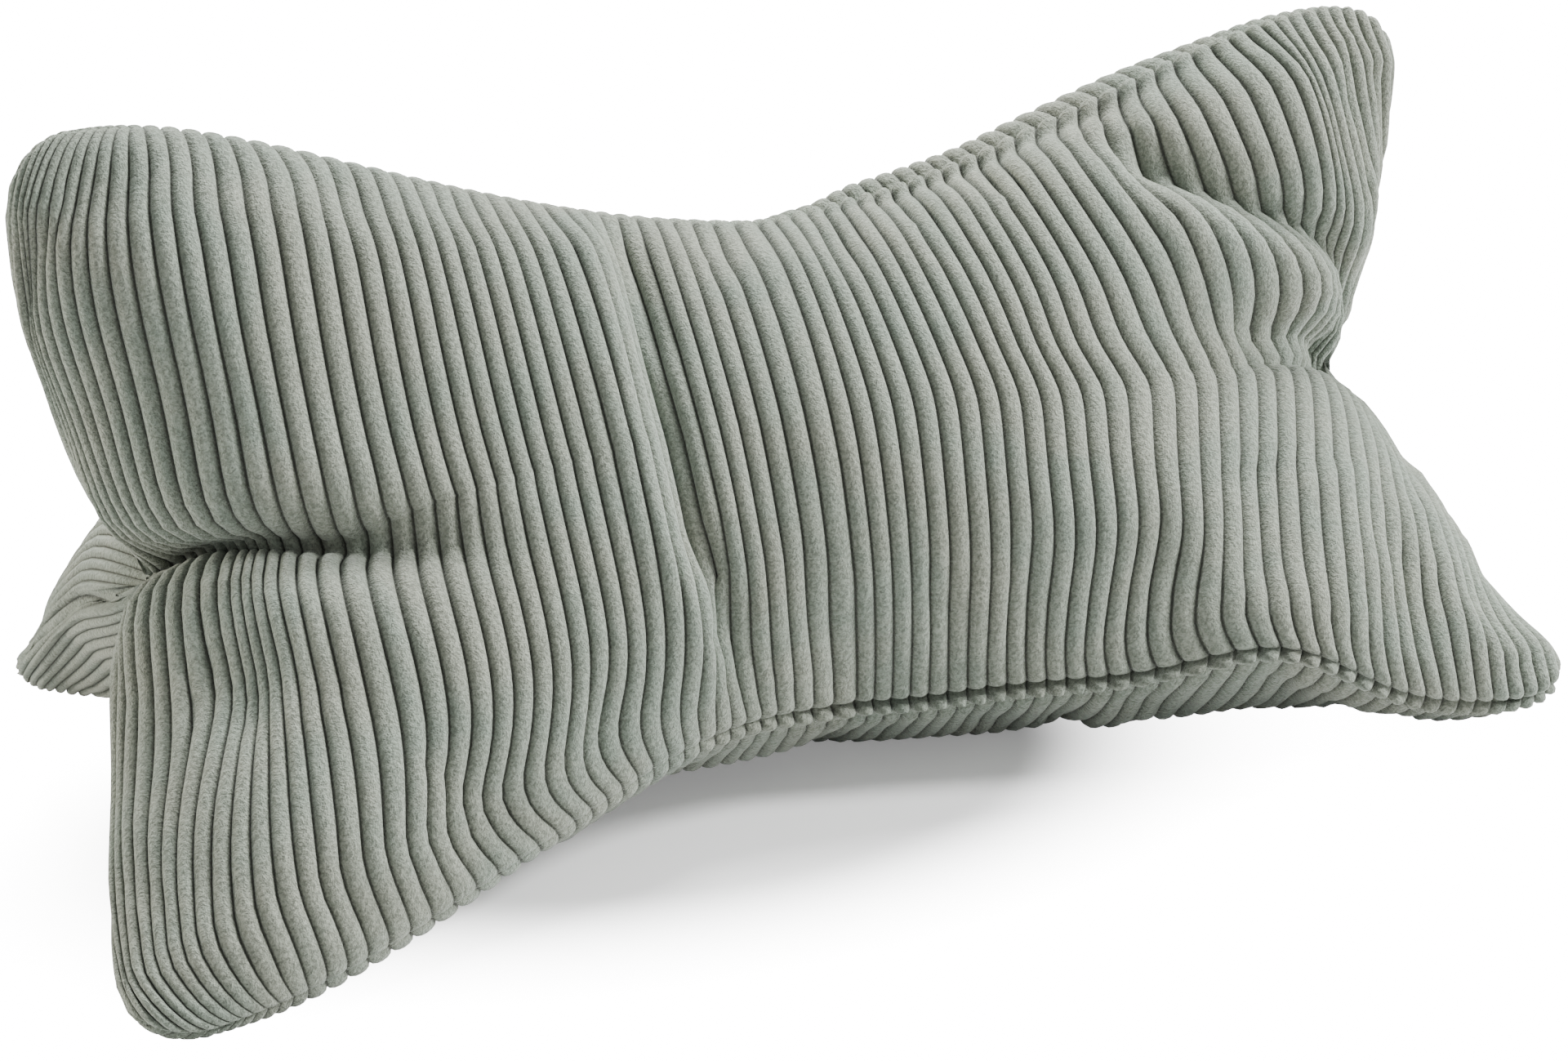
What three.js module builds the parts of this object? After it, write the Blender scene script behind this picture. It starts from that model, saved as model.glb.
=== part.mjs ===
// Bone-shaped neck pillow in wide-wale corduroy, millimetres, +Z up.
// Three equal bone-shaped panels are sewn edge to edge round one filled body.
// X runs along the pillow, -Y is the front, and the pillow stands on its lower ears and underside.
import * as THREE from 'three';

// Driving sizes of the sewn and filled form, before it settles
const WAIST_RADIUS = 82.5;        // axis to a long seam at the waist
const WAIST_CROWN = 69.5;         // axis to the middle of a panel at the waist
const CROWN_FALL = 3.0;           // how late the crown falls away towards the pole
const CROWN_ROUND = 1.35;         // how round that fall is
const POLE_X = 196;               // waist to the point where three seams meet
const EAR_X = 204;                // waist to the centre of an ear's rounded tip
const EAR_RADIUS = 105.5;         // axis to the centre of an ear's rounded tip
const EAR_TIP_RADIUS = 17;
const SEAM_SLOPE = 13.4;          // degrees, long seam against the axis at the ear
const EDGE_ANGLE = 68;            // degrees between a panel and its seam plane at the ear
const NOTCH_HANDLE = 0.315;       // fullness beside the middle of a panel
const SEAM_HANDLE = 0.27;         // fullness beside the long seam
const GROOVE_ANGLE = 84;          // degrees the middle of a panel folds in at the pole
const GROOVE_START = 3.4;         // higher values keep the groove closer to the pole
const BLUNT_START = 0.79;         // share of the length where an ear starts to close
const EAR_BOW = 0.81;             // how early the ears reach out past the pole

// Cloth
const WALE_HEIGHT = 2.0;
const WALE_HEIGHT_SHARE = 0.36;   // highest wale as a share of its width
const PANELS = [
  { name: 'front', turn: 60 },
  { name: 'base', turn: 180 },
  { name: 'back', turn: 300 },
];
const SIDES = [
  { side: -1, waleTip: 42, walePole: 40.5, gather: [0.74, 1.0, 0.94, 1.01, 0.76, 0.95, 2.3], stretch: 1.0 },
  { side: 1, waleTip: 38, walePole: 31, gather: [1.25, 1.15, 1.12, 0.86, 1.02, 1.12, 1.2], stretch: 0.966 },
];
const GATHER_AT = [0, 0.15, 0.3, 0.45, 0.65, 0.85, 1];
const TIP_WALES = 4.7;            // wales that end on the far side of an ear's round tip
const EASE_WIDTH = 0.09;          // share of half a panel over which wales round its middle line

// Where the wales of the front panel have slipped along the pillow, by so many wales
const DRIFTS = [
  { wale: -34, across: -0.3, reach: 5, wide: 0.3, by: -2.8 },
  { wale: -33, across: 0, reach: 4, wide: 0.2, by: -1.3 },
  { wale: -39, across: 0.6, reach: 5, wide: 0.4, by: 2.2 },
  { wale: -18, across: -0.85, reach: 8, wide: 0.22, by: 2.2 },
  { wale: 27, across: 0.08, reach: 5, wide: 0.3, by: -2.2 },
  { wale: 28, across: 0.75, reach: 4, wide: 0.3, by: -1.8 },
  { wale: 14, across: 0.12, reach: 5, wide: 0.16, by: 0.6 },
  { wale: 14, across: -0.5, reach: 6, wide: 0.22, by: -0.6 },
  { wale: 23, across: 0.38, reach: 4, wide: 0.2, by: -0.6 },
];

// How the filled pillow lies: each ear's shift outward, away from the axis and sideways
const EARS = [
  { side: -1, seam: 'top', out: -4.5, up: 7.5, across: -8, rests: false },
  { side: -1, seam: 'front', out: 1, up: 18, across: 8, rests: true },
  { side: -1, seam: 'back', out: -11, up: 7.5, across: 13, rests: false },
  { side: 1, seam: 'top', out: 5.5, up: 12, across: -2, rests: false },
  { side: 1, seam: 'front', out: -2, up: 9, across: 8.5, rests: true },
  { side: 1, seam: 'back', out: -3, up: 8, across: 8, rests: true },
];
const SEAM_TURN = { top: 0, front: 120, back: 240 };
const BEND_LEFT = 5.7;            // degrees the left half swings to the front
const BEND_RIGHT = -0.9;
const REACH = 220;                // half length at which bow, sag and twist are given
const BOW_FRONT = 3.7;
const SAG = 1.1;
const TWIST = -2.5;               // degrees
const LEAN_BACK = 6.6;            // degrees the top seam leans to the back
const LEAN_RIGHT = 0.85;          // degrees the right end lies lower
const FOOT_PRESS = 4;             // how far each ear that rests is pressed flat

// Places where a long seam is pushed up or down round the pillow
const PULLS = [
  { seam: 'front', x: 8, reach: 40, wide: 26, up: -8 },
  { seam: 'front', x: 122, reach: 34, wide: 26, up: 18 },
];

// How each end's meeting point of the seams is pushed, and how far that is felt
const POLES = [
  { side: -1, push: new THREE.Vector3(2, -3, 6), reach: 45 },
  { side: 1, push: new THREE.Vector3(0, 0, 9), reach: 62 },
];

// Main folds, each a soft trough (negative depth) or ridge along a line on one panel.
// A line's points give the wale from the waist and the place across the panel, from -1 at
// the lower seam to 1 at the upper seam.
const FOLDS = [
  { panel: 'front', width: 8, depth: -8, line: [[-39, 0], [-26, 0.05], [-22, -0.08], [-18, -0.18]] },
  { panel: 'front', width: 12, depth: 7, line: [[-42, 0.15], [-36, 0.17], [-26, 0.22], [-21, 0.08]] },
  { panel: 'front', width: 10, depth: 6, line: [[-42, -0.13], [-30, -0.14], [-24, -0.17]] },
  { panel: 'front', width: 9, depth: -4, line: [[-35, -0.26], [-31, -0.38], [-30, -0.48]] },
  { panel: 'front', width: 10, depth: -7, line: [[-7, 0.95], [-8, 0.14], [-8, -0.3], [-5, -0.95]] },
  { panel: 'front', width: 18, depth: 3, line: [[-3, 0.5], [-2, -0.8]] },
  { panel: 'front', width: 13, depth: -7.5, line: [[16, 0.82], [19, 0.72], [27, 0.38], [30, 0.26]] },
  { panel: 'front', width: 13, depth: 5, line: [[18, 0.52], [23, 0.37], [27, 0.22]] },
  { panel: 'front', width: 11, depth: -6, line: [[17, 0.16], [20, 0.13], [24, 0.12], [31, 0.05]] },
  { panel: 'front', width: 12, depth: -4, line: [[17, -0.25], [17, -0.85]] },
  { panel: 'front', width: 12, depth: 3, line: [[21, -0.3], [22, -0.8]] },
  { panel: 'base', width: 12, depth: -6, line: [[-42, 0], [-30, 0]] },
  { panel: 'base', width: 34, depth: 4.5, line: [[-16, 0.12], [-4, 0.12], [8, 0.12], [22, 0.12]] },
  { panel: 'base', width: 12, depth: -6, line: [[24, 0], [33, 0]] },
  { panel: 'back', width: 12, depth: -7, line: [[-42, 0], [-29, -0.05]] },
  { panel: 'back', width: 12, depth: -7, line: [[20, 0], [33, 0.04]] },
  { panel: 'back', width: 12, depth: -4, line: [[-3, 0.7], [1, -0.7]] },
  { panel: 'back', width: 13, depth: 5, line: [[1, -0.82], [14, -0.82], [27, -0.82]] },
];
const WALE_PITCH = 5.2;           // mean wale width, for distances on a panel
const HALF_PANEL = 84;            // middle of a panel to its long seam, along the cloth

// Fineness of the faces
const LENGTH_STEPS = 48;
const ACROSS_STEPS = 24;
const ROWS = 6;                   // rows of faces from the middle of a panel to its seam

const RAD = Math.PI / 180;
const AXIS_X = new THREE.Vector3(1, 0, 0);
const AXIS_Y = new THREE.Vector3(0, 1, 0);
const clamp = (x, low, high) => Math.min(high, Math.max(low, x));
const smooth = (x, from, to) => {
  const t = clamp((x - from) / (to - from), 0, 1);
  return t * t * (3 - 2 * t);
};
const mix = (a, b, t) => a + (b - a) * t;

function lookUp(x, xs, ys) {
  let k = 1;
  while (k < xs.length - 1 && xs[k] < x) k += 1;
  const t = clamp((x - xs[k - 1]) / (xs[k] - xs[k - 1]), 0, 1);
  return mix(ys[k - 1], ys[k], t);
}

// Seam outline of one ear, in the plane that holds the axis and the seam
const slope = SEAM_SLOPE * RAD;
const joinX = EAR_X - EAR_TIP_RADIUS * Math.sin(slope);
const joinR = EAR_RADIUS + EAR_TIP_RADIUS * Math.cos(slope);
const seamPower = Math.tan(slope) * joinX / (joinR - WAIST_RADIUS);
const notchReach = Math.hypot(EAR_X - POLE_X, EAR_RADIUS);
const notchTurn = Math.atan2(EAR_RADIUS, EAR_X - POLE_X) - Math.asin(EAR_TIP_RADIUS / notchReach);
const notchLength = Math.sqrt(notchReach ** 2 - EAR_TIP_RADIUS ** 2);
const tipFrom = notchTurn - Math.PI / 2;
const tipTo = Math.PI / 2 + slope;
const endLength = notchLength + EAR_TIP_RADIUS * (tipTo - tipFrom);
const tipShare = (notchLength - EAR_TIP_RADIUS * tipFrom) / endLength;

function longSeamRadius(t) {
  return WAIST_RADIUS + (joinR - WAIST_RADIUS) * t ** seamPower;
}

// The sewn end edge from the pole (share 0) over the ear's tip to the long seam (share 1)
function endEdge(share) {
  const run = share * endLength;
  if (run < notchLength) {
    return { x: POLE_X + run * Math.cos(notchTurn), u: run * Math.sin(notchTurn) };
  }
  const turn = tipFrom + (run - notchLength) / EAR_TIP_RADIUS;
  return { x: EAR_X + EAR_TIP_RADIUS * Math.cos(turn), u: EAR_RADIUS + EAR_TIP_RADIUS * Math.sin(turn) };
}

// One point of half a panel: t runs from the waist to the end edge, share from the
// middle line to the long seam. u lies along the seam's direction and v stands off it.
function formPoint(t, share) {
  const crown = WAIST_CROWN * Math.max(1 - t ** CROWN_FALL, 0) ** (1 / CROWN_ROUND);
  const start = new THREE.Vector2(crown * Math.cos(60 * RAD), crown * Math.sin(60 * RAD));
  const finish = new THREE.Vector2(longSeamRadius(t), 0);
  const chord = start.distanceTo(finish);
  const startTurn = (-30 + GROOVE_ANGLE * t ** GROOVE_START) * RAD;
  const finishTurn = (90 + (EDGE_ANGLE - 90) * t) * RAD;
  const curve = new THREE.CubicBezierCurve(
    start,
    new THREE.Vector2(
      start.x + Math.cos(startTurn) * chord * NOTCH_HANDLE,
      start.y + Math.sin(startTurn) * chord * NOTCH_HANDLE,
    ),
    new THREE.Vector2(
      finish.x - Math.cos(finishTurn) * chord * SEAM_HANDLE,
      finish.y + Math.sin(finishTurn) * chord * SEAM_HANDLE,
    ),
    finish,
  );
  const section = curve.getPoint(share);
  const end = endEdge(share);
  const closing = clamp((t - BLUNT_START) / (1 - BLUNT_START), 0, 1);
  const thin = Math.sqrt(1 - closing ** 2);
  const pull = mix(t ** 3, 1 - thin, (1 - share) ** 6);
  return new THREE.Vector3(
    t * (joinX + (end.x - joinX) * t ** EAR_BOW),
    mix(section.x, end.u, pull),
    section.y * thin,
  );
}

// Grid of form points with the wale number at each, by length along the cloth
function numberedForm(row) {
  const columns = [];
  for (let j = 0; j <= ACROSS_STEPS; j += 1) {
    const share = j / ACROSS_STEPS;
    const points = [];
    for (let i = 0; i <= LENGTH_STEPS; i += 1) {
      points.push(formPoint(1 - (1 - i / LENGTH_STEPS) ** 1.6, share));
    }
    const length = [0];
    for (let i = 1; i <= LENGTH_STEPS; i += 1) length.push(length[i - 1] + points[i].distanceTo(points[i - 1]));
    const whole = length[LENGTH_STEPS];
    const count = [0];
    for (let i = 1; i <= LENGTH_STEPS; i += 1) {
      const middle = (length[i] + length[i - 1]) / 2 / whole;
      const dense = lookUp(middle, GATHER_AT, row.gather);
      count.push(count[i - 1] + dense * (length[i] - length[i - 1]));
    }
    const last = waleAtEnd(row, share);
    columns.push({ share, points, wale: count.map((c) => c / count[LENGTH_STEPS] * last) });
  }
  return columns.map((column, j) => ({ ...column, wale: eased(columns, j) }));
}

// The wale numbers of one column, rounded where the wales cross the panel's middle line
function eased(columns, j) {
  const weight = Math.exp(-((columns[j].share / 0.22) ** 4));
  return columns[j].wale.map((count, i) => {
    let sum = 0;
    let total = 0;
    for (let k = -6; k <= 6; k += 1) {
      const near = Math.exp(-((k / ACROSS_STEPS / EASE_WIDTH) ** 2));
      sum += near * columns[Math.min(Math.abs(j + k), ACROSS_STEPS)].wale[i];
      total += near;
    }
    const t = 1 - (1 - i / LENGTH_STEPS) ** 1.6;
    return mix(count, sum / total, weight * (1 - smooth(t, 0.8, 0.97)));
  });
}

// Wale number where the end edge is reached
function waleAtEnd(row, share) {
  if (share <= tipShare) {
    return row.walePole + (row.waleTip - row.walePole) * Math.sin(share / tipShare * Math.PI / 2) ** 1.3;
  }
  const past = (share - tipShare) / (1 - tipShare);
  return row.waleTip - TIP_WALES * (1 - Math.cos(past * Math.PI / 2));
}

// Shares of the end edge where one wale starts and stops
function waleSpan(row, wale) {
  let from = 0;
  let to = 1;
  const fine = 400;
  if (wale > row.walePole) {
    while (from < tipShare && waleAtEnd(row, from) < wale) from += 1 / fine;
    from = Math.min(from, tipShare);
  }
  if (wale > row.waleTip - TIP_WALES) {
    while (to > tipShare && waleAtEnd(row, to) < wale) to -= 1 / fine;
    to = Math.max(to, tipShare);
  }
  if (wale >= row.waleTip) {
    from = tipShare;
    to = tipShare;
  }
  return { from, to };
}

// By how many wales the cloth has slipped outward at a place, nothing at the seams
function driftAt(row, half, wale, share) {
  let total = 0;
  for (const drift of DRIFTS) {
    const along = (wale * row.side - drift.wale) / drift.reach;
    const aside = (share * half - drift.across) / drift.wide;
    total += drift.by * Math.exp(-(along ** 2) - aside ** 2);
  }
  return total * row.side * (1 - share ** 6) * smooth(wale, 0, 3) * smooth(row.walePole - wale, 0, 4);
}

// The point on the form at a wale number and a share of the way across
function pointAt(columns, number, share, slip) {
  const place = share * ACROSS_STEPS;
  const j = Math.min(Math.floor(place), ACROSS_STEPS - 1);
  const ends = [columns[j], columns[j + 1]].map((column) => {
    const wale = number - slip(number, column.share);
    let i = 1;
    while (i < LENGTH_STEPS && column.wale[i] < wale) i += 1;
    const t = clamp((wale - column.wale[i - 1]) / (column.wale[i] - column.wale[i - 1]), 0, 1);
    return column.points[i - 1].clone().lerp(column.points[i], t);
  });
  return ends[0].lerp(ends[1], place - j);
}

// Half panel of one side: a column of points at every crest and every gap between wales
function halfPanel(row, columns, slip) {
  const grid = [];
  for (let column = 0; column <= row.waleTip * 2; column += 1) {
    const span = waleSpan(row, column / 2);
    const line = [];
    for (let r = 0; r <= ROWS; r += 1) {
      const share = mix(span.from, span.to, r / ROWS);
      const sewnEnd = (r === 0 && span.from > 0) || (r === ROWS && span.to < 1);
      const edge = endEdge(share);
      const point = sewnEnd ? new THREE.Vector3(edge.x, edge.u, 0) : pointAt(columns, column / 2, share, slip);
      line.push({ share, point });
    }
    grid.push(line);
  }
  return grid;
}

// From the half panel's own axes to its place round the pillow
function placed(point, panel, half, row) {
  const along = half * (point.y * Math.sin(60 * RAD) - point.z * Math.cos(60 * RAD));
  const off = point.y * Math.cos(60 * RAD) + point.z * Math.sin(60 * RAD);
  const turn = panel.turn * RAD;
  return new THREE.Vector3(
    point.x * row.side,
    along * Math.cos(turn) - off * Math.sin(turn),
    along * Math.sin(turn) + off * Math.cos(turn),
  );
}

function seamOf(panel, half) {
  const turn = (panel.turn - 60 * half + 360) % 360;
  return Object.keys(SEAM_TURN).find((name) => SEAM_TURN[name] === turn);
}

function seamDirection(seam) {
  const turn = SEAM_TURN[seam] * RAD;
  return new THREE.Vector3(0, -Math.sin(turn), Math.cos(turn));
}

// How much one ear's shift moves a point: full at the ear, none at the waist
function earShare(start, ear) {
  const radius = Math.hypot(start.y, start.z);
  const toward = seamDirection(ear.seam);
  const facing = (start.y * toward.y + start.z * toward.z) / Math.max(radius, 0.001);
  return (1 + 2 * facing * offAxis(start)) / 3 * smooth(start.x * ear.side, 22, 209);
}

function offAxis(start) {
  return smooth(Math.hypot(start.y, start.z), 0, 50);
}

function bent(point, row) {
  const angle = (row.side < 0 ? BEND_LEFT : BEND_RIGHT) * RAD;
  const reach = point.x * row.side;
  const steps = 24;
  let x = 0;
  let y = 0;
  for (let k = 0; k < steps; k += 1) {
    const turn = angle * smooth((k + 0.5) / steps * reach, 0, 99);
    x += Math.cos(turn) * reach / steps;
    y -= Math.sin(turn) * reach / steps;
  }
  const turn = angle * smooth(reach, 0, 99);
  return new THREE.Vector3(row.side * (x + point.y * Math.sin(turn)), y + point.y * Math.cos(turn), point.z);
}

// The filled pillow as it lies: ears shifted, halves bent, ends twisted, then leant over
function settled(start, row) {
  const moved = start.clone();
  for (const ear of EARS.filter((e) => e.side === row.side)) {
    const share = earShare(start, ear);
    const toward = seamDirection(ear.seam);
    const sideways = AXIS_X.clone().cross(toward);
    moved.x += ear.side * ear.out * share;
    moved.addScaledVector(toward, ear.up * share * offAxis(start));
    moved.addScaledVector(sideways, ear.across * share * offAxis(start));
  }
  for (const pull of PULLS) {
    const toward = seamDirection(pull.seam);
    const outward = start.y * toward.y + start.z * toward.z;
    const aside = Math.hypot(start.y - outward * toward.y, start.z - outward * toward.z);
    if (outward > 0) {
      const felt = Math.exp(-(((start.x - pull.x) / pull.reach) ** 2) - (aside / pull.wide) ** 2);
      moved.addScaledVector(AXIS_X.clone().cross(toward), -pull.up * felt);
    }
  }
  const pole = POLES.find((end) => end.side === row.side);
  const apart = start.distanceTo(new THREE.Vector3(row.side * POLE_X, 0, 0));
  moved.addScaledVector(pole.push, Math.exp(-((apart / pole.reach) ** 2)));
  moved.x *= row.stretch;
  const point = bent(moved, row);
  point.y -= BOW_FRONT * (point.x / REACH) ** 2;
  point.z -= SAG * (point.x / REACH) ** 2;
  point.applyAxisAngle(AXIS_X, TWIST * point.x / REACH * RAD);
  point.applyAxisAngle(AXIS_X, -LEAN_BACK * RAD);
  point.applyAxisAngle(AXIS_Y, LEAN_RIGHT * RAD);
  return point;
}

// Points on a seam, a middle line, a pole, a tip or the waist are shared
const points = [];
const faces = [];
const byKey = new Map();

function keyOf(panel, half, row, column, r) {
  const seam = seamOf(panel, half);
  const wale = column / 2;
  const side = column === 0 ? 0 : row.side;
  if (wale === row.waleTip) return `tip ${seam} ${side}`;
  if (r === 0 && wale === row.walePole) return `pole ${side}`;
  if (r === 0 && wale > row.walePole) return `notch ${seam} ${side} ${column}`;
  if (r === 0) return `middle ${panel.name} ${side} ${column}`;
  if (r === ROWS) return `seam ${seam} ${side} ${column}`;
  return `inner ${panel.name} ${half} ${side} ${column} ${r}`;
}

function indexOf(panel, half, row, grid, column, r) {
  const key = keyOf(panel, half, row, column, r);
  const { share, point } = grid[column][r];
  if (!byKey.has(key)) {
    byKey.set(key, points.length);
    const start = placed(point, panel, half, row);
    points.push({ start, row, column, sewn: /^(tip|pole|notch|seam)/.test(key), uses: [] });
  }
  const found = points[byKey.get(key)];
  const width = 2 * point.distanceTo(grid[Math.max(column - 1, 0)][r].point);
  found.width = column === 0 ? WALE_PITCH : width;
  found.uses.push({ panel: panel.name, wale: column / 2 * row.side, across: share * half });
  return byKey.get(key);
}

for (const row of SIDES) {
  const columns = numberedForm(row);
  for (const panel of PANELS) {
    for (const half of [-1, 1]) {
      const slips = panel.name === 'front';
      const grid = halfPanel(row, columns, (wale, share) => (slips ? driftAt(row, half, wale, share) : 0));
      for (let column = 0; column < grid.length - 1; column += 1) {
        for (let r = 0; r < ROWS; r += 1) {
          const a = indexOf(panel, half, row, grid, column, r);
          const b = indexOf(panel, half, row, grid, column + 1, r);
          const c = indexOf(panel, half, row, grid, column + 1, r + 1);
          const d = indexOf(panel, half, row, grid, column, r + 1);
          const outward = half * row.side > 0;
          for (const face of [[a, b, c], [a, c, d]]) {
            if (new Set(face).size === 3) faces.push(outward ? face : face.reverse());
          }
        }
      }
    }
  }
}

for (const point of points) {
  point.place = settled(point.start, point.row);
  point.normal = new THREE.Vector3();
}

// Directions square to the cloth at each point
for (const [a, b, c] of faces) {
  const ab = points[b].place.clone().sub(points[a].place);
  const ac = points[c].place.clone().sub(points[a].place);
  const square = ab.cross(ac);
  for (const index of [a, b, c]) points[index].normal.add(square);
}
for (const point of points) point.normal.normalize();

// Distance of a place on a panel from a fold's line, and the share of the line walked there
function fromLine(use, line) {
  const at = line.map(([wale, across]) => new THREE.Vector2(wale * WALE_PITCH, across * HALF_PANEL));
  const place = new THREE.Vector2(use.wale * WALE_PITCH, use.across * HALF_PANEL);
  let whole = 0;
  let best = { away: Infinity, walked: 0 };
  for (let k = 1; k < at.length; k += 1) {
    const run = at[k].clone().sub(at[k - 1]);
    const length = run.length();
    const along = clamp(place.clone().sub(at[k - 1]).dot(run) / length ** 2, 0, 1);
    const away = place.distanceTo(at[k - 1].clone().addScaledVector(run, along));
    if (away < best.away) best = { away, walked: whole + along * length };
    whole += length;
  }
  return { away: best.away, share: best.walked / whole };
}

function foldHeight(use) {
  let height = 0;
  for (const fold of FOLDS.filter((f) => f.panel === use.panel)) {
    const { away, share } = fromLine(use, fold.line);
    const fade = 0.25 + 0.75 * smooth(share, 0, 0.15) * smooth(1 - share, 0, 0.35);
    height += fold.depth * fade * Math.exp(-((away / fold.width) ** 1.7));
  }
  return height;
}

// Folds are sunk or raised first, then the wales: crests on odd columns, gaps on even ones
for (const point of points) {
  const folds = point.sewn ? 0 : foldHeight(point.uses[0]);
  const wale = Math.min(WALE_HEIGHT, WALE_HEIGHT_SHARE * point.width);
  const crest = point.column % 2 === 1 && !point.sewn;
  point.place.addScaledVector(point.normal, folds + (crest ? wale / 2 : -wale / 2));
}

// Each ear that rests is let down until it is pressed into the floor by the same amount
const lowerEars = EARS.filter((ear) => ear.rests);
const nearEar = (point, ear) => point.row.side === ear.side && earShare(point.start, ear) > 0.6;
const lowest = (ear) => Math.min(...points.filter((p) => nearEar(p, ear)).map((p) => p.place.z));
const floor = lowerEars.reduce((sum, ear) => sum + lowest(ear), 0) / lowerEars.length;
for (let pass = 0; pass < 3; pass += 1) {
  for (const ear of lowerEars) {
    const drop = lowest(ear) - floor;
    for (const point of points.filter((p) => p.row.side === ear.side)) {
      point.place.z -= drop * clamp(earShare(point.start, ear), 0, 1);
    }
  }
}
for (const point of points) {
  point.place.z = Math.max(point.place.z - floor - FOOT_PRESS, 0);
}

const box = new THREE.Box3().setFromPoints(points.map((point) => point.place));
const middle = box.getCenter(new THREE.Vector3());
const geometry = new THREE.BufferGeometry();
const flat = points.flatMap((p) => [p.place.x - middle.x, p.place.y - middle.y, p.place.z]);
geometry.setAttribute('position', new THREE.Float32BufferAttribute(flat, 3));
geometry.setIndex(faces.flat());
geometry.computeVertexNormals();

const corduroy = new THREE.MeshStandardMaterial({ color: 0xa3aca0, roughness: 0.95, metalness: 0 });
const pillow = new THREE.Mesh(geometry, corduroy);
pillow.name = 'pillow';

const part = new THREE.Group();
part.name = 'neck_pillow';
part.add(pillow);

export default part;
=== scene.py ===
# %% [markdown]
# # A bone-shaped neck pillow in wide-wale corduroy
# The pillow is three equal bone-shaped panels sewn edge to edge round one filled body. Its
# three long seams meet at a pole on each end, and on the way there each runs over an ear.
# It could be sculpted by hand, or blown up from flat panels by Cloth alone. Here the sewn
# form is worked out from a few sizes, so that every wale can be followed over every fold,
# and Cloth adds only the last small swell.
#
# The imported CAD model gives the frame, so everything is measured in its axes: X along the
# pillow, -Y towards the front, Z up from the floor. Lengths are millimetres until the mesh
# is written, because cloth is easiest to think about in millimetres.

# %% Load the frame
import math
import bmesh
import bpy
import numpy as np
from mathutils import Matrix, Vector
from mathutils.kdtree import KDTree


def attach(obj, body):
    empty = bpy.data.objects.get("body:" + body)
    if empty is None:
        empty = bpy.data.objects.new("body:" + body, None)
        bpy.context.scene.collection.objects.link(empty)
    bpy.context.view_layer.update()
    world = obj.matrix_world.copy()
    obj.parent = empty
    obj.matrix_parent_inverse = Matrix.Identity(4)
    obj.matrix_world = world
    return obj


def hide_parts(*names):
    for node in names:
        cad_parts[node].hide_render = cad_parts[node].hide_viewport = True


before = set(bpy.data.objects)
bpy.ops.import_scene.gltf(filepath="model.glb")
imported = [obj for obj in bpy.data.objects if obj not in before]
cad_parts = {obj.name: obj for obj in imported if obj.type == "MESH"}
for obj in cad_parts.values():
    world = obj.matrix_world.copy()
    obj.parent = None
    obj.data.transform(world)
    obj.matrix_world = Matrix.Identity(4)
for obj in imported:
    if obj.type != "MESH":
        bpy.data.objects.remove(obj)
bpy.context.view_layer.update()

# %% [markdown]
# ## Sizes of the sewn form
# These are the driving sizes, as a maker would measure them on a pillow just sewn and
# filled. The outline of one ear lies in the plane that holds the pillow's axis and a seam,
# and the rest is how full each panel stands. A form traced point by point could look the
# same, but none of its sizes could be changed later.

# %% Sewn form
WAIST_RADIUS = 82.5                # axis to a long seam at the waist
WAIST_CROWN = 69.5                 # axis to the middle of a panel at the waist
CROWN_FALL = 3.0                   # how late the crown falls away towards the pole
CROWN_ROUND = 1.35                 # how round that fall is
POLE_X = 196.0                     # waist to the point where the three seams meet
EAR_X = 204.0                      # waist to the centre of an ear's rounded tip
EAR_RADIUS = 105.5                 # axis to the centre of an ear's rounded tip
EAR_TIP_RADIUS = 17.0
SEAM_SLOPE = math.radians(13.4)    # long seam against the axis at the ear
EDGE_ANGLE = 68.0                  # degrees between a panel and its seam plane at the ear
NOTCH_HANDLE = 0.315               # fullness beside the middle of a panel
SEAM_HANDLE = 0.27                 # fullness beside the long seam
GROOVE_ANGLE = 84.0                # degrees the middle of a panel folds in at the pole
GROOVE_START = 3.4                 # higher values keep the groove closer to the pole
BLUNT_START = 0.79                 # share of the length where an ear starts to close
EAR_BOW = 0.81                     # how early the ears reach out past the pole
print("ear tips", 2 * (EAR_X + EAR_TIP_RADIUS), "mm apart before the pillow settles")

# %% [markdown]
# ## The cloth and how it is gathered
# Each panel has 80 wales across its length, 42 from the waist to the left end and 38 to the
# right. They aren't even once the pillow is filled: they spread left of the waist, crowd
# right of it, and crowd again where an end closes. `gather` holds how many wales fall on
# each stretch, relative to the mean, so the cloth can slide over the form without changing
# it. A bump pattern would be quicker, but its wales would stay flat at the outline.

# %% Cloth
PANELS = {"front": 60.0, "base": 180.0, "back": 300.0}      # degrees round the axis
SEAM_TURN = {"top": 0.0, "front": 120.0, "back": 240.0}
SIDES = {
    -1: {
        "tip": 42.0, "pole": 40.5, "stretch": 1.0,
        "gather": [0.74, 1.0, 0.94, 1.01, 0.76, 0.95, 2.3],
    },
    1: {
        "tip": 38.0, "pole": 31.0, "stretch": 0.966,
        "gather": [1.25, 1.15, 1.12, 0.86, 1.02, 1.12, 1.2],
    },
}
GATHER_AT = [0.0, 0.15, 0.3, 0.45, 0.65, 0.85, 1.0]         # shares of the way to an end
TIP_WALES = 4.7                    # wales that end on the far side of an ear's round tip
print(len(PANELS), "panels of", sum(cut["tip"] for cut in SIDES.values()), "wales")

# %% [markdown]
# ## Outline of an ear
# A panel's end edge leaves the pole along a straight notch, runs round the ear's tip and
# meets the long seam. A maker draws it with a ruler and a round template. A Bezier curve
# could trace it, but a line and an arc that touch stay smooth when a size changes. A place
# on the edge is a share of its length, from 0 at the pole to 1 at the long seam.

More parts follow.
